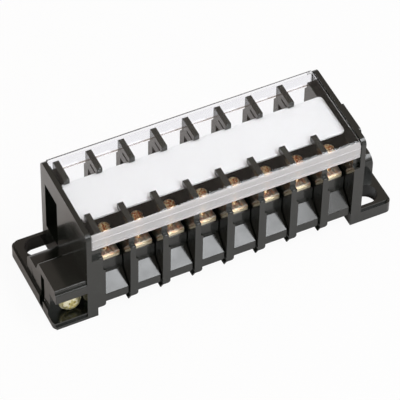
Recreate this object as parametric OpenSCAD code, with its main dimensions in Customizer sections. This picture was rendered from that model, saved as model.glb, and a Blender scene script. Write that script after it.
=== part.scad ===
// Stackable barrier terminal strip: one moulded housing per pole stands on a short hat rail between
// two end brackets with mounting ears. Each pole has a conductor bar with a clamp plate and a raised
// terminal screw at the front and at the back. A marking strip lies under the tips of the barriers,
// and a clear cover drops over the row between the brackets.
// X runs along the row, -Y is the front, Z = 0 is the panel that the ears are screwed to.

/* [Row] */
// Number of poles
poles = 8; // [2:1:8]
// Distance from one pole to the next
pitch = 12; // [12:0.5:15]
// Depth from the front of the barriers to the back
depth = 38; // [38:1:44]
// Height of the end brackets above the panel
height = 42; // [42:0.5:48]

/* [Barriers] */
// Thickness of a barrier
barrier_t = 2.1; // [1.9:0.1:2.3]
// Thickness of a barrier's foot in front of the wire way
foot_t = 2.9; // [2.5:0.1:2.9]
// Height of the wire deck above the panel
deck_z = 19.4; // [18.5:0.1:20]
// Width of the marking strip
strip_w = 18.2; // [17:0.2:20]

/* [End brackets] */
// Length of a mounting ear, from the end of the row
ear_l = 16.2; // [15:0.2:20]
// Thickness of a mounting ear
ear_t = 6.2; // [6.2:0.1:8]
// Thickness of an end wall
end_wall_t = 3.9; // [3.4:0.1:4.5]
// Width of a mounting slot
slot_w = 8.4; // [5:0.1:8.4]

/* [Terminals] */
// Diameter of a terminal screw's head
head_d = 4.8; // [4.4:0.1:5.6]
// Travel of a terminal screw, from raised to tight
screw_travel = 7.4; // [4:0.1:7.4]

/* [Cover] */
// Wall thickness of the clear cover
cover_t = 1.15; // [0.8:0.05:1.2]

/* [Hidden] */
FRONT = -1;
REAR = 1;
SIDES = [["front", FRONT], ["rear", REAR]];
ENDS = [["left", 0], ["right", 180]];
POLES = [1:poles];

BLACK = [0.09, 0.09, 0.09];
YELLOW_ZINC = [0.93, 0.78, 0.42];
BRASS = [0.85, 0.68, 0.32];
STEEL = [0.72, 0.73, 0.74];
CARD = [0.95, 0.95, 0.94];
CLEAR = [0.92, 0.96, 0.98, 0.25];

$fn = 48;
round_steps = 5;

// The row
row_l = poles * pitch;
face_y = depth / 2;
end_x = row_l / 2;

// Housing: heights and setbacks of the wire way in front of the deck
joint_gap = 0.3;
foot_z = 4.1;
apron_z = 4.8;
apron_y = face_y - 1;
apron_top_z = 8.5;
ramp_top_z = 13.2;
deck_y = face_y - 6.3;
foot_step_z = 22.4;
core_y = 11;
core_z = [6, 18.4];
spine_y = 3.8;
spine_z = 32;

// Barrier: front ledge, rear shoulder, and the bars that hold the marking strip
ledge_z = 29.2;
tower_front_y = face_y - 1.4;
shoulder_z = 32.6;
shoulder_top_z = 34.4;
tower_rear_y = face_y - 1.4;
seat_z = 37;
bar_z = 38;
tower_z = height - 1.6;
tower_r = [1.2, 0.5];
tip_y = strip_w / 2 - 1;
tip_r = 0.4;
strip_slot_y = 13.7;
strip_t = 0.8;

// Pocket in a barrier's left face, and the window of an end wall beside it
window_y = [5.6, 15.6];
window_z = [12, 33.4];
pocket_z = 20;
pocket_d = 1.2;

// Hat rail
rail_w = 15;
rail_h = 5.5;
rail_t = 1;
rail_base_w = 10.5;
rail_end = 11;
rail_play = 0.1;

// Terminals
terminal_y = 8.4;
terminal_x = (foot_t + pitch - joint_gap) / 2 - 0.2;
bar_w = 8.2;
bar_t = 1.2;
bar_end_y = 12.4;
plate_w = 8;
plate_d = 7;
plate_t = 0.9;
rib_r = 0.7;
rib_pitch = 2;
thread_d = 3;
head_t = 2.6;
plate_top_z = deck_z + bar_t + plate_t;
head_z = plate_top_z + rib_r / 2 + screw_travel;
shank_l = 14.4;
well_d = 4.4;
well_z = 6.6;

// End bracket
inner_wall_t = 2.1;
ear_corner = 2;
ear_step = 0.6;
ear_step_z = ear_t - 1.3;
slot_inner = end_wall_t;
slot_outer = 13;
slot_y = [8.8, 8.8 + slot_w];
block_l = 15.4;
block_top_z = 19.4;
block_lip = 0.7;
block_lip_z = 17.8;
block_back_y = -4.4;
hump_z = 14.4;
hump_r = 3.5;
block_end_y = window_y[0];
recess_z = [2.7, 13.5];
recess_d = 5.4;
sill_z = 1.2;
side_pocket_y = [-9.2, -6.4];
side_pocket_z = [1, 16];
side_pocket_d = 2.5;

// Rail clamp
clamp_x = end_x + 8.3;
clamp_z = 7;
clamp_thread_d = 4;
clamp_washer_d = 8;
clamp_washer_t = 0.8;
clamp_head_d = 6.6;
clamp_head_t = 2.8;
nut_w = 7;
nut_t = 3.2;
nut_y = -12.6;
jaw_w = 6;
jaw_t = 1.4;
jaw_z = [3.8, 10.4];

strip_l = row_l + 2.2;
cover_l = row_l + 3.8;
cover_z = [34.6, height - 0.4];
cover_r = [2.4, 0.8];

// ---- Drawing helpers ----

function unit(v) = v / norm(v);

// Points of one corner [x, y, radius], where a radius draws an arc between the two edges
function corner_points(before, at, after) =
    at[2] == 0 ? [[at.x, at.y]] :
    let (
        p = [at.x, at.y],
        u = unit([before.x, before.y] - p),
        v = unit([after.x, after.y] - p),
        half = acos(u * v) / 2,
        centre = p + unit(u + v) * at[2] / sin(half),
        first = p + u * at[2] / tan(half) - centre,
        turn = (180 - 2 * half) * sign(cross(first, p - centre)),
        start = atan2(first.y, first.x)
    )
    [for (i = [0:round_steps])
        centre + at[2] * [cos(start + turn * i / round_steps), sin(start + turn * i / round_steps)]];

// Flat outline with round corners, from corners [x, y, radius]
module outline(corners) {
    n = len(corners);
    polygon([for (i = [0:n - 1])
        each corner_points(corners[(i + n - 1) % n], corners[i], corners[(i + 1) % n])]);
}

// Outline in Y and Z, swept along X
module along_x(from, to) {
    translate([from, 0, 0])
        rotate([90, 0, 90])
            linear_extrude(to - from)
                children();
}

// Outline in X and Z, swept along Y
module along_y(from, to) {
    translate([0, to, 0])
        rotate([90, 0, 0])
            linear_extrude(to - from)
                children();
}

// Box between two opposite corners
module block(low, high) {
    translate(low)
        cube(high - low);
}

// Rectangle between two opposite corners
module rectangle(low, high) {
    translate(low)
        square(high - low);
}

// Turns what is drawn at the front to the side that is asked for
module facing(side) {
    mirror([0, side == FRONT ? 0 : 1, 0])
        children();
}

function pole_x(k) = -end_x + (k - 1) * pitch;
function seat_x(k) = pole_x(k) + terminal_x;

// ---- Pole housing ----

// Section through the wire way: apron, ramp and deck at front and back, with the spine between
module bay_outline() {
    outline([
        [-apron_y, apron_z, 0], [-apron_y, apron_top_z, 0.3], [-deck_y, ramp_top_z, 0.3], [-deck_y, deck_z, 0.3],
        [-spine_y, deck_z, 0], [-spine_y, spine_z, 1], [spine_y, spine_z, 1], [spine_y, deck_z, 0],
        [deck_y, deck_z, 0.3], [deck_y, ramp_top_z, 0.3], [apron_y, apron_top_z, 0.3], [apron_y, apron_z, 0]
    ]);
}

// Side view of a barrier, with or without the two bars that reach over the marking strip
module barrier_outline(bottom_z, with_bars) {
    bars = [
        [-tower_front_y, tower_z, tower_r[0]], [-tip_y, tower_z, tip_r], [-tip_y, bar_z, tip_r],
        [-strip_slot_y, bar_z, 0.3], [-strip_slot_y, seat_z, 0.3], [strip_slot_y, seat_z, 0.3],
        [strip_slot_y, bar_z, 0.3], [tip_y, bar_z, tip_r], [tip_y, tower_z, tip_r],
        [tower_rear_y, tower_z, tower_r[1]]
    ];
    flat_top = [[-tower_front_y, seat_z, 0.5], [tower_rear_y, seat_z, 0.5]];
    outline(concat(
        [[-face_y, bottom_z, 0], [-face_y, ledge_z, 0.4], [-tower_front_y, ledge_z, 0.2]],
        with_bars ? bars : flat_top,
        [[tower_rear_y, shoulder_top_z, 0.4], [face_y, shoulder_z, 0.4], [face_y, bottom_z, 0]]
    ));
}

// Thick foot of a barrier beside the wire way, its lower corner rounded
module barrier_foot() {
    along_y(-face_y, -deck_y)
        outline([
            [0, foot_z, 0], [foot_t, foot_z, 1], [foot_t, foot_step_z, 0.3], [barrier_t, foot_step_z + 0.6, 0],
            [0, foot_step_z + 0.6, 0]
        ]);
}

// Small hooked tab that reaches under the neighbour on the left, so the first pole has none
module interlock_tab() {
    along_y(-face_y + 0.2, -face_y + 4)
        polygon([[0, foot_z + 0.4], [0.6, foot_z], [-0.6, 2.9], [-0.9, 3.2]]);
}

// Foot that clasps one flange of the hat rail
module rail_hook() {
    nib_y = -rail_w / 2 + 1.3;
    wall_y = -rail_w / 2 - rail_play;
    under_z = rail_h - rail_t - rail_play;
    along_x(barrier_t, pitch - barrier_t)
        outline([
            [wall_y, apron_z + 0.5, 0], [wall_y - 3, apron_z + 0.5, 0], [wall_y - 2.2, 3.3, 0.5], [nib_y, 3.3, 0.3],
            [nib_y, under_z - 0.2, 0.2], [wall_y, under_z, 0]
        ]);
}

module pole_housing(k) {
    color(BLACK)
    translate([pole_x(k), 0, 0])
    difference() {
        union() {
            along_x(0, pitch - joint_gap)
                bay_outline();
            along_x(0, pitch)
                rectangle([-core_y, core_z[0]], [core_y, core_z[1]]);
            along_x(0, barrier_t)
                barrier_outline(foot_z, true);
            for (side = [FRONT, REAR])
                facing(side) {
                    barrier_foot();
                    rail_hook();
                    if (k > 1) interlock_tab();
                }
        }
        // seat for the rail
        along_x(-1, pitch + 1)
            rectangle([-rail_w / 2 - rail_play, 0], [rail_w / 2 + rail_play, rail_h]);
        // tunnel for the conductor bar through the spine
        block([terminal_x - bar_w / 2, -spine_y - 1, deck_z], [terminal_x + bar_w / 2, spine_y + 1, deck_z + bar_t]);
        for (side = [FRONT, REAR])
            translate([terminal_x, side * terminal_y, well_z])
                cylinder(d = well_d, h = deck_z);
        block([-1, window_y[0], pocket_z], [pocket_d, window_y[1], window_z[1]]);
    }
}

// ---- Terminals ----

module conductor_bar(k) {
    color(BRASS)
    translate([seat_x(k), 0, deck_z])
    difference() {
        linear_extrude(bar_t)
            outline([
                [-bar_w / 2, -bar_end_y, 0.5], [bar_w / 2, -bar_end_y, 0.5],
                [bar_w / 2, bar_end_y, 0.5], [-bar_w / 2, bar_end_y, 0.5]
            ]);
        for (side = [FRONT, REAR])
            translate([0, side * terminal_y, -1])
                cylinder(d = thread_d + 0.1, h = bar_t + 2);
    }
}

// Square clamp plate with pressed ribs that run towards the wire
module clamp_plate(k, side) {
    color(YELLOW_ZINC)
    translate([seat_x(k), side * terminal_y, deck_z + bar_t])
    difference() {
        union() {
            linear_extrude(plate_t)
                square([plate_w, plate_d], center = true);
            for (i = [-1.5:1:1.5])
                intersection() {
                    translate([i * rib_pitch, 0, plate_t - rib_r / 2])
                        rotate([90, 0, 0])
                            cylinder(r = rib_r, h = plate_d, center = true, $fn = 24);
                    block([-plate_w, -plate_d, plate_t / 2], [plate_w, plate_d, plate_t + rib_r]);
                }
        }
        translate([0, 0, -1])
            cylinder(d = thread_d + 0.4, h = plate_t + 3);
    }
}

// Cross recess, cut from the top of a head at z = 0
module cross_recess(size, depth) {
    for (turn = [0, 90])
        rotate([0, 0, turn])
            translate([-size / 2, -size / 8, -depth])
                cube([size, size / 4, depth + 1]);
}

module terminal_screw(k, side) {
    color(YELLOW_ZINC)
    translate([seat_x(k), side * terminal_y, head_z])
    difference() {
        union() {
            rotate_extrude()
                outline([
                    [0, 0, 0], [head_d / 2, 0, 0.15], [head_d / 2, head_t, 0.6], [0, head_t, 0]
                ]);
            translate([0, 0, -shank_l])
                cylinder(d = thread_d, h = shank_l + 0.5);
        }
        translate([0, 0, head_t])
            cross_recess(head_d * 0.6, 1.3);
    }
}

// ---- End brackets ----

// Mounting ear with rounded corners and a step round its three free top edges
module ear_plate() {
    for (step = [[0, ear_step_z], [ear_step, ear_t]]) {
        x = -end_x - ear_l + step[0];
        y = face_y - step[0];
        linear_extrude(step[1])
            outline([[-end_x, -y, 0], [-end_x, y, 0], [x, y, ear_corner], [x, -y, ear_corner]]);
    }
}

// Mounting slot, round at its outer end
module ear_slot() {
    mid_y = (slot_y[0] + slot_y[1]) / 2;
    round_x = -end_x - slot_outer + slot_w / 2;
    translate([round_x, mid_y, -1])
        cylinder(d = slot_w, h = ear_t + 2);
    block([round_x, slot_y[0], -1], [-end_x - slot_inner, slot_y[1], ear_t + 1]);
}

// Raised block that holds the rail clamp, with a lower hump behind it and a pocket and a slit in
// its outer side
module clamp_block() {
    outer = -end_x - block_l;
    difference() {
        along_x(outer, -end_x - end_wall_t)
            outline([
                [-face_y, 0, 0], [-face_y, block_lip_z, 0.5], [-face_y + block_lip, block_lip_z, 0.1],
                [-face_y + block_lip, block_top_z, 0.7], [block_back_y, block_top_z, 1.2],
                [block_back_y + 2, hump_z, 0.6], [block_end_y, hump_z, hump_r], [block_end_y, 0, 0]
            ]);
        along_x(outer - 1, outer + 0.8)
            polygon([[2.6, 10.4], [1.7, 9.6], [-0.9, ear_t], [0.2, ear_t]]);
    }
}

// Channel for the rail's end, the bore, pockets and screw recess of the rail clamp with its stepped
// sill, and the pocket in the outer side
module clamp_cavity() {
    outer = -end_x - ear_l - 1;
    wall = -end_x - end_wall_t;
    block([outer, -face_y - 1, recess_z[0]], [wall, -face_y + recess_d, recess_z[1]]);
    block([outer, -face_y - 1, sill_z], [wall, -face_y + ear_step, recess_z[1]]);
    block(
        [outer, side_pocket_y[0], side_pocket_z[0]],
        [-end_x - block_l + side_pocket_d, side_pocket_y[1], side_pocket_z[1]]
    );
    block(
        [-end_x - rail_end - 0.1, -rail_w / 2 - rail_play, -1],
        [-end_x + 1, rail_w / 2 + rail_play, rail_h + rail_play]
    );
    translate([-clamp_x, -face_y, clamp_z])
        rotate([-90, 0, 0])
            cylinder(d = clamp_thread_d + 0.3, h = face_y - rail_w / 2);
    block([-clamp_x - nut_w / 2, nut_y, -1], [-clamp_x + nut_w / 2, nut_y + nut_t, clamp_z + nut_w / 2]);
    block([-clamp_x - jaw_w / 2, -rail_w / 2 - jaw_t, -1], [-clamp_x + jaw_w / 2, -rail_w / 2, jaw_z[1]]);
}

// The left bracket's window goes right through. The right one stops at the inner wall, which
// closes the last pole.
module end_bracket(turn) {
    is_left = turn == 0;
    color(BLACK)
    difference() {
        union() {
            rotate([0, 0, turn]) {
                ear_plate();
                clamp_block();
                along_x(-end_x - end_wall_t, -end_x - inner_wall_t)
                    outline([[-face_y, 0, 0], [-face_y, height, 2.2], [face_y, height, 2.2], [face_y, 0, 0]]);
            }
            mirror([is_left ? 0 : 1, 0, 0])
                along_x(-end_x - inner_wall_t, -end_x)
                    barrier_outline(0, false);
        }
        rotate([0, 0, turn]) {
            ear_slot();
            clamp_cavity();
            block(
                [-end_x - end_wall_t - 1, window_y[0], window_z[0]],
                [-end_x + (is_left ? 1 : -inner_wall_t), window_y[1], window_z[1]]
            );
        }
    }
}

module rail_clamp_screw(turn) {
    seat_y = -face_y + recess_d;
    shank = -rail_w / 2 - jaw_t - seat_y;
    color(YELLOW_ZINC)
    rotate([0, 0, turn])
    translate([-clamp_x, seat_y, clamp_z])
    rotate([90, 0, 0])
    difference() {
        union() {
            rotate_extrude()
                outline([
                    [0, 0, 0], [clamp_washer_d / 2, 0, 0.1], [clamp_washer_d / 2, clamp_washer_t, 0.3],
                    [clamp_head_d / 2, clamp_washer_t, 0], [clamp_head_d / 2, clamp_head_t, 0.9], [0, clamp_head_t, 0]
                ]);
            translate([0, 0, -shank])
                cylinder(d = clamp_thread_d, h = shank + 0.5);
        }
        translate([0, 0, clamp_head_t])
            cross_recess(clamp_head_d * 0.62, 1.2);
    }
}

module rail_clamp_nut(turn) {
    color(YELLOW_ZINC)
    rotate([0, 0, turn])
    difference() {
        block(
            [-clamp_x - nut_w / 2, nut_y, clamp_z - nut_w / 2],
            [-clamp_x + nut_w / 2, nut_y + nut_t, clamp_z + nut_w / 2]
        );
        translate([-clamp_x, nut_y - 1, clamp_z])
            rotate([-90, 0, 0])
                cylinder(d = clamp_thread_d, h = nut_t + 2);
    }
}

module rail_clamp_jaw(turn) {
    color(STEEL)
    rotate([0, 0, turn])
        block([-clamp_x - jaw_w / 2, -rail_w / 2 - jaw_t, jaw_z[0]], [-clamp_x + jaw_w / 2, -rail_w / 2, jaw_z[1]]);
}

// ---- Rail, marking strip and cover ----

module support_rail() {
    base_y = rail_base_w / 2;
    color(STEEL)
    along_x(-end_x - rail_end, end_x + rail_end)
        outline([
            [-base_y, 0, 0.6], [base_y, 0, 0.6], [base_y, rail_h - rail_t, 0], [rail_w / 2, rail_h - rail_t, 0],
            [rail_w / 2, rail_h, 0.2], [base_y - rail_t, rail_h, 0.6], [base_y - rail_t, rail_t, 0],
            [-base_y + rail_t, rail_t, 0], [-base_y + rail_t, rail_h, 0.6], [-rail_w / 2, rail_h, 0.2],
            [-rail_w / 2, rail_h - rail_t, 0], [-base_y, rail_h - rail_t, 0]
        ]);
}

module marking_strip() {
    x = strip_l / 2;
    y = strip_w / 2;
    color(CARD)
    translate([0, 0, seat_z])
        linear_extrude(strip_t)
            outline([[-x, -y, 1.5], [x, -y, 1.5], [x, y, 1.5], [-x, y, 1.5]]);
}

// Outline of the cover's outside, drawn in by a distance
module cover_outline(inset) {
    y = face_y - inset;
    bottom = cover_z[0] - inset;
    top = cover_z[1] - inset;
    outline([
        [-y, bottom, 0], [-y, top, cover_r[0] - inset], [y, top, max(cover_r[1] - inset, 0.2)], [y, bottom, 0]
    ]);
}

module clear_cover() {
    color(CLEAR)
    along_x(-cover_l / 2, cover_l / 2)
        difference() {
            cover_outline(0);
            cover_outline(cover_t);
        }
}

// ---- Nodes ----

for (k = POLES) {
    pole_housing(k);
    conductor_bar(k);
    for (side = SIDES) {
        clamp_plate(k, side[1]);
        terminal_screw(k, side[1]);
    }
}
for (end = ENDS) {
    end_bracket(end[1]);
    rail_clamp_screw(end[1]);
    rail_clamp_nut(end[1]);
    rail_clamp_jaw(end[1]);
}
support_rail();
marking_strip();
clear_cover();
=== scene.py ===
"""A stackable barrier terminal strip: eight black moulded poles on a short rail between two end brackets
with mounting ears, raised terminal screws, a white marking strip and a clear cover that lifts off."""
import math

import bmesh
import bpy
from mathutils import Matrix, Vector


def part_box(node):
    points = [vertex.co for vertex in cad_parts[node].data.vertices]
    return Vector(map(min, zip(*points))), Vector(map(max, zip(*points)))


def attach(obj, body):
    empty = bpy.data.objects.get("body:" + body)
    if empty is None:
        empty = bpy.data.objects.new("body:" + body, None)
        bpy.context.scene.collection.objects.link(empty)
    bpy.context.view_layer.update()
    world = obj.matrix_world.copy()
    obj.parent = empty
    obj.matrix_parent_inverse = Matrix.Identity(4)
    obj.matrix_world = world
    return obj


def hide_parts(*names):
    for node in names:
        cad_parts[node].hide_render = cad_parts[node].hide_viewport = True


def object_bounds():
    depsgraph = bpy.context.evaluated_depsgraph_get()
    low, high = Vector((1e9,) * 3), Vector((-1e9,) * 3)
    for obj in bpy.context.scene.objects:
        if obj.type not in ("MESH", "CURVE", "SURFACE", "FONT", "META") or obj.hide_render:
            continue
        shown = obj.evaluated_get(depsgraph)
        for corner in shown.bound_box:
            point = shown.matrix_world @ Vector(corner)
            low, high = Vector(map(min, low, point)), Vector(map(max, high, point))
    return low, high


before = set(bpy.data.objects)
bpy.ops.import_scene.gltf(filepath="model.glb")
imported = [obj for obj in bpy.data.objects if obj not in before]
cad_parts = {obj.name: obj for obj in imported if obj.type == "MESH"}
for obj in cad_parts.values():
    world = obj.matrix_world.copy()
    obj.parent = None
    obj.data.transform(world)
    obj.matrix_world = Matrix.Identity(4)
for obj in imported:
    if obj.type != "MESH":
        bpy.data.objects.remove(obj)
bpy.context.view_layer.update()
MM = 0.001
scene = bpy.context.scene


# ---- Camera ----
# A long lens from the front left, well above the row, so that the poles keep almost the same size. It is
# tipped by a little over a degree, and aims just below the middle of the strip.
def placed(name, data):
    """New object of the scene with its camera, lamp or mesh."""
    thing = bpy.data.objects.new(name, data)
    scene.collection.objects.link(thing)
    return thing


azimuth, elevation, roll = math.radians(-26.56), math.radians(48.80), math.radians(-1.363)
distance, focal_length, sensor_width, nearest = 0.97186, 255.58, 36, 0.05
low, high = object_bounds()
aim = (Vector(low) + Vector(high)) / 2 + Vector((-1.67, -1.07, -2.46)) * MM
back = Vector((
    math.sin(azimuth) * math.cos(elevation), -math.cos(azimuth) * math.cos(elevation), math.sin(elevation)))
level = Vector((math.cos(azimuth), math.sin(azimuth), 0))
upright = back.cross(level)
right = level * math.cos(roll) - upright * math.sin(roll)
up = level * math.sin(roll) + upright * math.cos(roll)
lens = bpy.data.cameras.new("long_lens")
lens.lens, lens.sensor_width, lens.clip_start = focal_length, sensor_width, nearest
camera = placed("camera", lens)
turned = Matrix((right, up, back)).transposed().to_4x4()
camera.matrix_world = Matrix.Translation(aim + back * distance) @ turned
scene.camera = camera
scene.view_settings.view_transform = "Standard"


# ---- Table top, sky and lamps ----
# A white sheet under the strip, a dim warm room, and two soft boxes. The camera and clear parts see the
# sheet as plain white with a faint shadow, and gloss sees it as it is lit.
def linear(colour):
    """Linear RGBA of an sRGB hex colour such as "8a8f94"."""
    parts = [int(colour[i:i + 2], 16) / 255 for i in (0, 2, 4)]
    return (*[c / 12.92 if c <= 0.04045 else ((c + 0.055) / 1.055) ** 2.4 for c in parts], 1)


def add(tree, kind, feeds=None, **settings):
    """Adds a node with its settings. A feed is a value, a socket, or a node that stands for its first output,
    and a list of feeds goes to a socket that takes several."""
    node = tree.nodes.new(kind)
    for name, value in settings.items():
        setattr(node, name, value)
    for name, value in (feeds or {}).items():
        for one in value if isinstance(value, list) else [value]:
            if isinstance(one, bpy.types.Node):
                one = one.outputs[0]
            if isinstance(one, bpy.types.NodeSocket):
                tree.links.new(one, node.inputs[name])
            else:
                node.inputs[name].default_value = one
    return node


def worked(tree, operation, *values):
    """Math node that works on one or two values or sockets."""
    return add(tree, "ShaderNodeMath", dict(enumerate(values)), operation=operation)


# White paper sheet: what is seen directly or through clear plastic is mostly its own glow, so that only a
# faint shadow is left on it. Reflections see the paper as the lamps light it.
sheet_material = bpy.data.materials.new("white_table_sheet")
sheet_material.use_nodes = True
tree = sheet_material.node_tree
tree.nodes.clear()
glow_share = 0.94
rays = add(tree, "ShaderNodeLightPath")
seen = worked(tree, "MAXIMUM", rays.outputs["Is Camera Ray"], rays.outputs["Is Transmission Ray"])
share = worked(tree, "MULTIPLY", seen, glow_share)
paper = add(tree, "ShaderNodeBsdfDiffuse", {"Color": linear("f8f8f8")})
glow = add(tree, "ShaderNodeEmission", {"Color": (1, 1, 1, 1), "Strength": 1.0})
mixed = add(tree, "ShaderNodeMixShader", {0: share, 1: paper, 2: glow})
add(tree, "ShaderNodeOutputMaterial", {"Surface": mixed})
reach = 4
sheet_mesh = bpy.data.meshes.new("table_sheet")
sheet_mesh.from_pydata(
    [(-reach, -reach, 0), (reach, -reach, 0), (reach, reach, 0), (-reach, reach, 0)], [], [(0, 1, 2, 3)])
sheet_mesh.materials.append(sheet_material)
table_sheet = placed("table_sheet", sheet_mesh)

# Room, by the upward part of the direction: white up to just above the horizon, then a dim warm grey.
world = bpy.data.worlds.new("studio")
world.use_nodes = True
scene.world = world
tree = world.node_tree
tree.nodes.clear()
direction = add(tree, "ShaderNodeTexCoord").outputs["Generated"]
height = add(tree, "ShaderNodeSeparateXYZ", {0: direction}).outputs["Z"]
sky = add(tree, "ShaderNodeValToRGB", {0: height})
sky_colours = (
    (0.0, (1, 1, 1, 1)), (0.14, (1, 1, 1, 1)), (0.3, (0.34, 0.32, 0.31, 1)), (0.7, (0.42, 0.36, 0.32, 1)))
stops = sky.color_ramp.elements
for position, colour in sky_colours[1:-1]:
    stops.new(position)
for stop, (position, colour) in zip(stops, sky_colours):
    stop.position, stop.color = position, colour
room = add(tree, "ShaderNodeBackground", {"Color": sky, "Strength": 1.0})
add(tree, "ShaderNodeOutputWorld", {"Surface": room})


def soft_lamp(name, towards, across, along, radiance):
    """Area lamp a metre away, its long side in the plane of the lamp and the Y axis."""
    lamp = bpy.data.lights.new(name, "AREA")
    lamp.shape, lamp.size, lamp.size_y = "RECTANGLE", across, along
    lamp.energy = radiance * math.pi * across * along
    lamp.color = (0.97, 1.0, 1.03)
    out = Vector(towards).normalized()
    long_side = (Vector((0, 1, 0)) - out * out.y).normalized()
    turned = Matrix((long_side.cross(out), long_side, out)).transposed().to_4x4()
    placed(name, lamp).matrix_world = Matrix.Translation(out) @ turned


# The long box is what the wire ramps mirror, and the square one fills the tops from the rear left.
soft_lamp("strip_soft_box", (0.34, -0.40, 0.87), 0.20, 1.1, 7.0)
soft_lamp("top_soft_box", (-0.30, 0.20, 0.93), 0.5, 0.5, 0.5)


# ---- Support rail ----
# A short hat rail of rolled steel strip, zinc plated, that runs under all eight poles and ends inside the
# two end brackets. Only its underside and two thin edges show.
def finished(nodes, name, material, edge):
    """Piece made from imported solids: merged, their flat faces made whole, and every sharp edge rounded."""
    weld, flat_enough, sharp_enough = 0.002 * MM, math.radians(0.8), math.radians(28)
    mesh = bmesh.new()
    for node in nodes:
        mesh.from_mesh(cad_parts[node].data)
    bmesh.ops.remove_doubles(mesh, verts=mesh.verts, dist=weld)
    bmesh.ops.dissolve_limit(mesh, angle_limit=flat_enough, verts=mesh.verts, edges=mesh.edges)
    for face in mesh.faces:
        face.smooth = True
    rough = bpy.data.meshes.new(name)
    mesh.to_mesh(rough)
    mesh.free()
    rough.materials.append(material)
    piece = placed(name, rough)
    bevel = piece.modifiers.new("rounded_edges", "BEVEL")
    bevel.width, bevel.segments, bevel.angle_limit = edge, 2, sharp_enough
    bevel.miter_outer = "MITER_ARC"
    flat = piece.modifiers.new("flat_faces", "WEIGHTED_NORMAL")
    flat.mode, flat.weight, flat.keep_sharp = "FACE_AREA", 90, False
    settle(piece, "strip", nodes)


def settle(piece, body, nodes):
    """Turns the finished piece into a plain mesh and puts it on its body."""
    scene_graph = bpy.context.evaluated_depsgraph_get()
    plain = bpy.data.meshes.new_from_object(piece.evaluated_get(scene_graph))
    piece.modifiers.clear()
    piece.data = plain
    plain.name = piece.name
    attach(piece, body)
    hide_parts(*nodes)


def principled(name):
    """New material, its tree, its shader and the piece's own coordinates."""
    material = bpy.data.materials.new(name)
    material.use_nodes = True
    tree = material.node_tree
    return material, tree, tree.nodes["Principled BSDF"], add(tree, "ShaderNodeTexCoord").outputs["Object"]


def noise(tree, place, per_metre, detail=2.0, roughness=0.5):
    """Soft noise with so many features to the metre."""
    return add(tree, "ShaderNodeTexNoise", {
        "Vector": place, "Scale": per_metre, "Detail": detail, "Roughness": roughness})


def tinted(tree, gloss, pattern, low_tint, high_tint):
    """Base colour that drifts between two tints as the pattern does."""
    colour_a, colour_b, mixed = 6, 7, 2  # the sockets of a mix of colours
    tone = add(tree, "ShaderNodeMix", {
        "Factor": pattern, colour_a: linear(low_tint), colour_b: linear(high_tint)}, data_type="RGBA")
    tree.links.new(tone.outputs[mixed], gloss.inputs["Base Color"])


def roughened(tree, gloss, pattern, smoothest, roughest, pattern_low=0.0, pattern_high=1.0):
    """Roughness that follows the pattern."""
    spread = add(tree, "ShaderNodeMapRange", {
        "Value": pattern, "From Min": pattern_low, "From Max": pattern_high, "To Min": smoothest,
        "To Max": roughest})
    tree.links.new(spread.outputs[0], gloss.inputs["Roughness"])


# Zinc-plated steel: a bright cool grey, streaked along the rail by the rolling, with faint cloudy patches.
steel, tree, gloss, place = principled("zinc_plated_steel")
gloss.inputs["Metallic"].default_value = 1
drawn = add(tree, "ShaderNodeMapping", {"Vector": place, "Scale": (0.05, 1, 1)})
tinted(tree, gloss, noise(tree, place, 300.0), "b4b8bc", "cdd0d2")
roughened(tree, gloss, noise(tree, drawn, 4000.0, detail=3.0), 0.28, 0.45)
finished(["support_rail"], "hat_rail", steel, 0.12 * MM)


# ---- Pole housings ----
# One black moulding per pole, with its barrier on the left and the stepped wire way beside it. The poles
# are injection moulded in glass-filled plastic and clip over the rail side by side.
def bumped(tree, gloss, *layers):
    """Relief laid down in layers, each a pattern with its strength and its depth."""
    relief = None
    for pattern, strength, depth in layers:
        below = {"Normal": relief} if relief else {}
        relief = add(tree, "ShaderNodeBump", {
            "Height": pattern, "Strength": strength, "Distance": depth, **below})
    tree.links.new(relief.outputs[0], gloss.inputs["Normal"])


# Moulded black plastic: a near-black green-grey under a glossy resin skin that mirrors the lamps, broken by
# soft flow clouds, slow waves in the faces and a fine tool grain.
black, tree, gloss, place = principled("black_moulded_plastic")
gloss.inputs["IOR"].default_value = 1.54
gloss.inputs["Coat Weight"].default_value = 0.4
gloss.inputs["Coat Roughness"].default_value = 0.06
cloud = noise(tree, place, 140.0, detail=3.0, roughness=0.55)
tinted(tree, gloss, cloud, "131713", "1a1e19")
roughened(tree, gloss, cloud, 0.14, 0.24, pattern_low=0.3, pattern_high=0.7)
grain, swell = noise(tree, place, 2500.0), noise(tree, place, 220.0, detail=1.0)
bumped(tree, gloss, (grain, 0.06, 0.02 * MM), (swell, 0.25, 0.03 * MM))
poles = range(1, 9)
for k in poles:
    finished([f"pole_housing_{k}"], f"moulded_pole_{k}", black, 0.22 * MM)

# ---- Conductor bars ----
# Eight bars stamped from brass strip, one to a pole. Each passes through the spine of its pole and carries
# the current from the front terminal to the back one.
# Bright brass: a pale yellow metal with soft, lightly mottled reflections.
brass, tree, gloss, place = principled("bright_brass")
gloss.inputs["Metallic"].default_value = 1
cloud = noise(tree, place, 500.0, detail=3.0)
tinted(tree, gloss, cloud, "f6e8c4", "fff8e2")
roughened(tree, gloss, cloud, 0.3, 0.45)
finished([f"conductor_bar_{k}" for k in poles], "conductor_bars", brass, 0.15 * MM)


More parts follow.
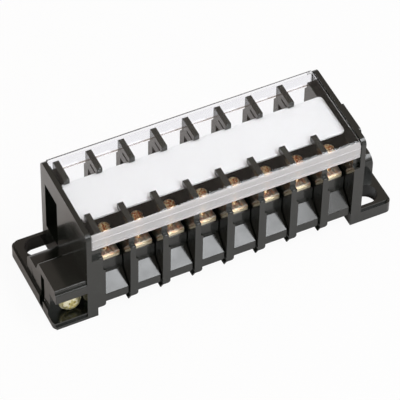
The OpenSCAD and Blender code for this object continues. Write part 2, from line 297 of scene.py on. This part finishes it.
# ---- Clamp plates ----
# Sixteen square steel plates under the terminal screws, pressed with four ribs that grip the wire, and
# zinc plated in yellow. Each lies loose on its conductor bar, round the shank of its screw.
def geometry_tree(name, inputs):
    """Empty Geometry Nodes tree with named inputs: the tree, its inputs' sockets and its output node."""
    tree = bpy.data.node_groups.new(name, "GeometryNodeTree")
    for label, kind in inputs.items():
        tree.interface.new_socket(label, in_out="INPUT", socket_type=f"NodeSocket{kind}")
    tree.interface.new_socket("Geometry", in_out="OUTPUT", socket_type="NodeSocketGeometry")
    return tree, tree.nodes.new("NodeGroupInput").outputs, tree.nodes.new("NodeGroupOutput")


def grown(tree, name, values):
    """Object whose mesh the tree makes from the values, by the inputs' names."""
    piece = placed(name, bpy.data.meshes.new(name))
    maker = piece.modifiers.new(tree.name, "NODES")
    maker.node_group = tree
    for socket in tree.interface.items_tree:
        if socket.in_out == "INPUT":
            maker[socket.identifier] = values[socket.name]
    return piece


def point(tree, **parts):
    """Vector node from its X, Y and Z, each nought unless given."""
    return add(tree, "ShaderNodeCombineXYZ", parts)


def plated_steel(name, low_tint, high_tint, per_metre, sparkle):
    """Zinc plating: a chromate tint that drifts between two colours, and grain that breaks up its shine."""
    material, tree, gloss, place = principled(name)
    gloss.inputs["Metallic"].default_value = 0.6
    cloud = noise(tree, place, per_metre)
    tint = add(tree, "ShaderNodeValToRGB", {0: cloud})
    for stop, position, colour in zip(tint.color_ramp.elements, (0.42, 0.58), (low_tint, high_tint)):
        stop.position, stop.color = position, linear(colour)
    tree.links.new(tint.outputs[0], gloss.inputs["Base Color"])
    roughened(tree, gloss, cloud, 0.22, 0.38)
    bumped(tree, gloss, (noise(tree, place, 1400.0), sparkle, 0.16 * MM))
    return material


# Yellow zinc plating: a pale warm gold that turns pinkish in patches.
plated = plated_steel("yellow_zinc_plating", "fad6c0", "fffaec", 450.0, 0.5)

tree, given, result = geometry_tree("ribbed_clamp_plates", {
    "Poles": "Int", "Pole Pitch": "Float", "Row Spacing": "Float", "First Plate": "Vector",
    "Plate Width": "Float", "Plate Depth": "Float", "Plate Thickness": "Float", "Rib Pitch": "Float",
    "Rib Height": "Float", "Hole Radius": "Float", "Finish": "Material"})
spot = add(tree, "ShaderNodeSeparateXYZ", {0: add(tree, "GeometryNodeInputPosition")})

# plate: a flat blank, its top pressed up into rounded ribs, with a hole punched for the screw
size = point(tree, X=given["Plate Width"], Y=given["Plate Depth"], Z=given["Plate Thickness"])
blank = add(tree, "GeometryNodeMeshCube", {"Size": size, "Vertices X": 49, "Vertices Y": 5, "Vertices Z": 3})
wave = worked(tree, "DIVIDE", spot.outputs["X"], given["Rib Pitch"])
wave = worked(tree, "MULTIPLY", wave, math.pi)
wave = worked(tree, "ABSOLUTE", worked(tree, "SINE", wave))
lift = worked(tree, "MULTIPLY", wave, given["Rib Height"])
lift = worked(tree, "MULTIPLY", lift, worked(tree, "GREATER_THAN", spot.outputs["Z"], 0.0))
pressed = add(tree, "GeometryNodeSetPosition", {"Geometry": blank, "Offset": point(tree, Z=lift)})
punch = add(tree, "GeometryNodeMeshCylinder", {
    "Vertices": 32, "Radius": given["Hole Radius"], "Depth": 5 * MM})
plate = add(tree, "GeometryNodeMeshBoolean", {
    "Mesh 1": pressed, "Mesh 2": [punch]}, operation="DIFFERENCE", solver="EXACT")

# seats: one for each plate, the poles along X and the two rows across Y
row_length = worked(tree, "MULTIPLY", worked(tree, "SUBTRACT", given["Poles"], 1), given["Pole Pitch"])
seats = add(tree, "GeometryNodeMeshGrid", {
    "Size X": row_length, "Size Y": given["Row Spacing"], "Vertices X": given["Poles"], "Vertices Y": 2})
middle = point(
    tree, X=worked(tree, "DIVIDE", row_length, 2.0), Y=worked(tree, "DIVIDE", given["Row Spacing"], 2.0))
middle = add(tree, "ShaderNodeVectorMath", {0: middle, 1: given["First Plate"]}, operation="ADD")
seats = add(tree, "GeometryNodeTransform", {"Geometry": seats, "Translation": middle})
plates = add(tree, "GeometryNodeInstanceOnPoints", {"Points": seats, "Instance": plate})
plates = add(tree, "GeometryNodeRealizeInstances", {"Geometry": plates})
plates = add(tree, "GeometryNodeSetMaterial", {"Geometry": plates, "Material": given["Finish"]})
tree.links.new(plates.outputs[0], result.inputs[0])


def middle_of(node):
    """Middle of a node's box."""
    node_low, node_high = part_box(node)
    return (Vector(node_low) + Vector(node_high)) / 2


plate_nodes = [f"clamp_plate_{side}_{k}" for side in ("front", "rear") for k in poles]
first, second, behind = (middle_of(f"clamp_plate_{name}") for name in ("front_1", "front_2", "rear_1"))
plate_low, plate_high = (Vector(corner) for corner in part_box("clamp_plate_front_1"))
plate_size = plate_high - plate_low
rib_height = 0.5 * MM
blank_thickness = plate_size.z - rib_height
plate_rows = grown(tree, "clamp_plates", {
    "Poles": len(poles), "Pole Pitch": (second - first).x, "Row Spacing": (behind - first).y,
    "First Plate": Vector((first.x, first.y, plate_low.z + blank_thickness / 2)), "Plate Width": plate_size.x,
    "Plate Depth": plate_size.y, "Plate Thickness": blank_thickness, "Rib Pitch": 2 * MM,
    "Rib Height": rib_height, "Hole Radius": 1.7 * MM, "Finish": plated})
settle(plate_rows, "strip", plate_nodes)
plate_rows.data.set_sharp_from_angle(angle=math.radians(35))

# ---- Terminal screws ----
# Sixteen M3 steel screws with round heads and a cross recess, each left standing raised in its clamp plate.
# The heads are cold formed and the threads rolled, then zinc plated, and each recess stands at its own angle.
tree, given, result = geometry_tree("cross_recess_screw", {
    "Head Radius": "Float", "Head Height": "Float", "Head Rounding": "Float", "Washer Radius": "Float",
    "Washer Height": "Float", "Shank Radius": "Float", "Shank Length": "Float", "Thread Pitch": "Float",
    "Thread Depth": "Float", "Recess Size": "Float", "Recess Depth": "Float", "Number": "Int", "Tilt": "Float",
    "Seat": "Vector", "Finish": "Material"})
spot = add(tree, "ShaderNodeSeparateXYZ", {0: add(tree, "GeometryNodeInputPosition")})
across = add(tree, "ShaderNodeVectorMath", {
    0: point(tree, X=spot.outputs["X"], Y=spot.outputs["Y"])}, operation="LENGTH").outputs["Value"]

# head: the side draws in towards the top, and the top falls towards the rim
blank = add(tree, "GeometryNodeMeshCylinder", {
    "Vertices": 40, "Side Segments": 8, "Fill Segments": 6, "Radius": given["Head Radius"],
    "Depth": given["Head Height"]})
tall = worked(tree, "ADD", worked(tree, "DIVIDE", spot.outputs["Z"], given["Head Height"]), 0.5)
wide = worked(tree, "DIVIDE", across, given["Head Radius"])
draw = worked(tree, "MULTIPLY", worked(tree, "POWER", tall, 5.0), given["Head Rounding"])
drop = worked(tree, "MULTIPLY", worked(tree, "POWER", wide, 4.0), given["Head Rounding"])
keep_wide = worked(tree, "SUBTRACT", 1.0, draw)
keep_tall = worked(tree, "SUBTRACT", 1.0, drop)
rise = worked(tree, "MULTIPLY", worked(tree, "MULTIPLY", tall, given["Head Height"]), keep_tall)
rise = worked(tree, "ADD", rise, given["Washer Height"])
domed = point(
    tree, X=worked(tree, "MULTIPLY", spot.outputs["X"], keep_wide),
    Y=worked(tree, "MULTIPLY", spot.outputs["Y"], keep_wide), Z=rise)
head = add(tree, "GeometryNodeSetPosition", {"Geometry": blank, "Position": domed})

# recess: two tapered blades crossed at right angles, struck into the head
blade = add(tree, "GeometryNodeMeshCone", {
    "Vertices": 4, "Radius Top": given["Recess Size"], "Depth": given["Recess Depth"],
    "Radius Bottom": worked(tree, "MULTIPLY", given["Recess Size"], 0.45)})
blade = add(tree, "GeometryNodeTransform", {"Geometry": blade, "Rotation": (0, 0, math.pi / 4)})
crown = worked(tree, "ADD", given["Head Height"], given["Washer Height"])
struck = worked(tree, "SUBTRACT", crown, worked(tree, "MULTIPLY", given["Recess Depth"], 0.85))
struck = point(tree, Z=struck)
blade_length, blade_width = 0.9, 0.26
blades = [
    add(tree, "GeometryNodeTransform", {"Geometry": blade, "Translation": struck, "Scale": scale})
    for scale in ((blade_width, blade_length, 1.0), (blade_length, blade_width, 1.0))]
head = add(tree, "GeometryNodeMeshBoolean", {
    "Mesh 1": head, "Mesh 2": blades}, operation="DIFFERENCE", solver="EXACT")

# washer, under the head
washer = add(tree, "GeometryNodeMeshCylinder", {
    "Vertices": 48, "Radius": given["Washer Radius"], "Depth": given["Washer Height"]})
half_up = point(tree, Z=worked(tree, "DIVIDE", given["Washer Height"], 2.0))
washer = add(tree, "GeometryNodeTransform", {"Geometry": washer, "Translation": half_up})

# shank, with a V thread that winds round it: five rings of points to each pitch
rings = worked(tree, "MULTIPLY", worked(tree, "DIVIDE", given["Shank Length"], given["Thread Pitch"]), 5.0)
rod = add(tree, "GeometryNodeMeshCylinder", {
    "Vertices": 24, "Side Segments": rings, "Radius": given["Shank Radius"], "Depth": given["Shank Length"]})
climb = worked(tree, "DIVIDE", spot.outputs["Z"], given["Thread Pitch"])
round_way = worked(tree, "ARCTAN2", spot.outputs["Y"], spot.outputs["X"])
round_way = worked(tree, "DIVIDE", round_way, 2 * math.pi)
groove = worked(tree, "PINGPONG", worked(tree, "ADD", climb, round_way), 0.5)
groove = worked(tree, "MULTIPLY", groove, given["Thread Depth"])
groove = worked(tree, "DIVIDE", groove, given["Shank Radius"])
narrow = worked(tree, "SUBTRACT", 1.0, worked(tree, "MULTIPLY", groove, 2.0))
half_down = worked(tree, "MULTIPLY", given["Shank Length"], -0.5)
wound = point(
    tree, X=worked(tree, "MULTIPLY", spot.outputs["X"], narrow),
    Y=worked(tree, "MULTIPLY", spot.outputs["Y"], narrow), Z=worked(tree, "ADD", spot.outputs["Z"], half_down))
rod = add(tree, "GeometryNodeSetPosition", {"Geometry": rod, "Position": wound})

# whole screw, turned by up to a quarter turn of its own, tilted and put in its seat
whole = add(tree, "GeometryNodeJoinGeometry", {"Geometry": [head, washer, rod]})
least, most, drawn_value = 2, 3, 1  # the sockets of a draw of one float
turn = add(tree, "FunctionNodeRandomValue", {
    least: 0.0, most: math.pi / 2, "ID": given["Number"], "Seed": 11}, data_type="FLOAT").outputs[drawn_value]
whole = add(tree, "GeometryNodeTransform", {"Geometry": whole, "Rotation": point(tree, Z=turn)})
whole = add(tree, "GeometryNodeTransform", {
    "Geometry": whole, "Translation": given["Seat"], "Rotation": point(tree, X=given["Tilt"])})
whole = add(tree, "GeometryNodeRealizeInstances", {"Geometry": whole})
whole = add(tree, "GeometryNodeSetMaterial", {"Geometry": whole, "Material": given["Finish"]})
tree.links.new(whole.outputs[0], result.inputs[0])
screw_tree = tree


def driven(name, body, node, values):
    """Screw made by the tree and put on its body, with its corners kept crisp."""
    screw = grown(screw_tree, name, values)
    settle(screw, body, [node])
    screw.data.set_sharp_from_angle(angle=math.radians(40))


# Bronze zinc plating: the screws' thicker chromate, from copper brown to pale gold in fine glinting specks.
screw_finish = plated_steel("bronze_zinc_plating", "c9753f", "fff0c0", 1500.0, 1.0)
screw_low, screw_high = (Vector(corner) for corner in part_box("terminal_screw_front_1"))
head_height = 2.6 * MM
for side, before in (("front", 0), ("rear", len(poles))):
    for k in poles:
        node = f"terminal_screw_{side}_{k}"
        seat = middle_of(node)
        seat.z = screw_high.z - head_height
        driven(f"screw_{side}_{k}", f"screw_{side}_{k}", node, {
            "Head Radius": (screw_high - screw_low).x / 2, "Head Height": head_height, "Head Rounding": 0.2,
            "Washer Radius": 1.4 * MM, "Washer Height": 0.0, "Shank Radius": 1.5 * MM,
            "Shank Length": (screw_high - screw_low).z - head_height, "Thread Pitch": 0.5 * MM,
            "Thread Depth": 0.28 * MM, "Recess Size": 2.3 * MM, "Recess Depth": 1.5 * MM,
            "Number": before + k, "Tilt": 0.0, "Seat": seat, "Finish": screw_finish})

# ---- End brackets ----
# The two end mouldings are one part turned half round: a tall wall, a stepped mounting ear with a slot,
# and a block whose screw draws a steel jaw against the rail's flange.
# Pale yellow zinc plating: the clamp screws' thinner chromate, straw coloured with a soft sparkle.
clamp_finish = plated_steel("pale_yellow_zinc_plating", "d8cf8c", "fffbdc", 900.0, 0.6)
washer_height, head_height = 0.8 * MM, 2.0 * MM
under_head = washer_height + head_height
for side, inwards, number in (("left", 1, 20), ("right", -1, 21)):
    finished([f"end_bracket_{side}"], f"moulded_bracket_{side}", black, 0.24 * MM)
    finished([f"rail_clamp_nut_{side}"], f"clamp_nut_{side}", plated, 0.1 * MM)
    finished([f"rail_clamp_jaw_{side}"], f"clamp_jaw_{side}", steel, 0.1 * MM)
    node = f"rail_clamp_screw_{side}"
    screw_low, screw_high = (Vector(corner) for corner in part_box(node))
    outer_end = screw_low.y if side == "left" else screw_high.y
    seat = middle_of(node)
    seat.y = outer_end + inwards * under_head
    driven(f"clamp_screw_{side}", "strip", node, {
        "Head Radius": 3.3 * MM, "Head Height": head_height, "Head Rounding": 0.22,
        "Washer Radius": (screw_high - screw_low).x / 2, "Washer Height": washer_height,
        "Shank Radius": 2 * MM, "Shank Length": (screw_high - screw_low).y - under_head,
        "Thread Pitch": 0.7 * MM, "Thread Depth": 0.38 * MM, "Recess Size": 3.2 * MM, "Recess Depth": 1.5 * MM,
        "Number": number, "Tilt": inwards * math.pi / 2, "Seat": seat, "Finish": clamp_finish})

# ---- Marking strip ----
# A plain strip of card, cut from sheet, for the names of the circuits. It slides in under the tips of the
# barriers, which hold it down.
# White marking card: matte and faintly fibrous, just darker than the table.
card, tree, gloss, place = principled("white_marking_card")
gloss.inputs["Roughness"].default_value = 0.6
fibre = noise(tree, place, 1200.0, detail=4.0)
tinted(tree, gloss, fibre, "ecedec", "f0f1f0")
bumped(tree, gloss, (fibre, 0.1, 0.01 * MM))
finished(["marking_strip"], "marking_card", card, 0.1 * MM)


# ---- Clear cover ----
# An extruded channel of clear polycarbonate, polished on top and at the back, that drops over the row.
# Its front skirt is frosted, so that it half hides the terminals, with two fine grooves along it whose floors
# carry a painted grey shade.
def clear_plastic(name, transmission, roughness, colour="fdfdff"):
    """Polycarbonate, from clear to milky, or tinted grey as painted shade."""
    material, tree, gloss, place = principled(name)
    gloss.inputs["Base Color"].default_value = linear(colour)
    gloss.inputs["Transmission Weight"].default_value = transmission
    gloss.inputs["IOR"].default_value = 1.33
    roughened(tree, gloss, noise(tree, place, 300.0), roughness, roughness * 1.6)
    return material


# Clear polycarbonate that shows what is under it with a thin gleam, the same plastic frosted to a milky white,
# and a grey copy of it on the groove floors and the rear corner. That grey is painted shade, which draws them
# as fine grey lines. The mesh holds them in this order.
CLEAR, FROSTED, PAINTED_SHADE = 0, 1, 2
cover_finishes = (
    clear_plastic("clear_polycarbonate", 1.0, 0.01), clear_plastic("frosted_polycarbonate", 0.40, 0.05),
    clear_plastic("polycarbonate_painted_grey_shade", 0.35, 0.2, "78787b"))
cover_low, cover_high = (Vector(corner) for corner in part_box("clear_cover"))
wall, end_chamfer = 1.15 * MM, 0.2 * MM
front_radius, rear_radius, least_radius = 2.4 * MM, 0.8 * MM, 0.2 * MM
groove_heights, groove_sink = (0.9 * MM, 4.2 * MM), 0.3 * MM
arc_steps, frosted_steps = 8, 5


def channel(inset, sink):
    """Half of the cover's section, from the front edge over the top to the rear edge, drawn in by a distance:
    each point's Y and Z, and the finish of the face that starts there. The grooves are sunk in the front."""
    y_low, y_high, top, bottom = cover_low.y + inset, cover_high.y - inset, cover_high.z - inset, cover_low.z
    outline = [(y_low, bottom, FROSTED)]
    # each groove's sunk floor takes the grey painted shade
    for height in groove_heights:
        for rise, depth, finish in (
                (0, 0, FROSTED), (0.08, sink, PAINTED_SHADE), (0.32, sink, FROSTED), (0.4, 0, FROSTED)):
            outline.append((y_low + depth, bottom + height + rise * MM, finish))
    front, rear = front_radius - inset, max(rear_radius - inset, least_radius)
    # the front arc is frosted over its lower part, and the rear arc takes the grey painted shade
    for centre, radius, start, finish, steps in (
            (y_low + front, front, 180, FROSTED, frosted_steps),
            (y_high - rear, rear, 90, PAINTED_SHADE, arc_steps)):
        for step in range(arc_steps + 1):
            angle = math.radians(start - 90 * step / arc_steps)
            outline.append((
                centre + radius * math.cos(angle), top - radius + radius * math.sin(angle),
                finish if step < steps else CLEAR))
    outline.append((y_high, bottom, CLEAR))
    return outline


inside = channel(wall, 0.0)[::-1]
half = cover_high.x
mesh = bmesh.new()
sections = []
for x, inset in (
        (-half, end_chamfer), (-half + end_chamfer, 0.0), (half - end_chamfer, 0.0), (half, end_chamfer)):
    outside = channel(inset, groove_sink)
    sections.append([mesh.verts.new((x, y, z)) for y, z, finish in outside + inside])
finishes = [finish for y, z, finish in outside] + [CLEAR] * len(inside)
count = len(finishes)
for one, two in zip(sections, sections[1:]):
    for i, finish in enumerate(finishes):
        j = (i + 1) % count
        face = mesh.faces.new((one[i], one[j], two[j], two[i]))
        face.material_index = finish
        face.smooth = True
for end in (sections[0], sections[-1]):
    for i in range(len(outside) - 1):
        face = mesh.faces.new((end[i], end[i + 1], end[count - 2 - i], end[count - 1 - i]))
        face.material_index = FROSTED
bmesh.ops.recalc_face_normals(mesh, faces=mesh.faces)
cover_mesh = bpy.data.meshes.new("clear_cover_channel")
mesh.to_mesh(cover_mesh)
mesh.free()
for finish in cover_finishes:
    cover_mesh.materials.append(finish)
cover_mesh.set_sharp_from_angle(angle=math.radians(30))
cover = placed("clear_cover_channel", cover_mesh)
settle(cover, "cover", ["clear_cover"])
cover.visible_shadow = False
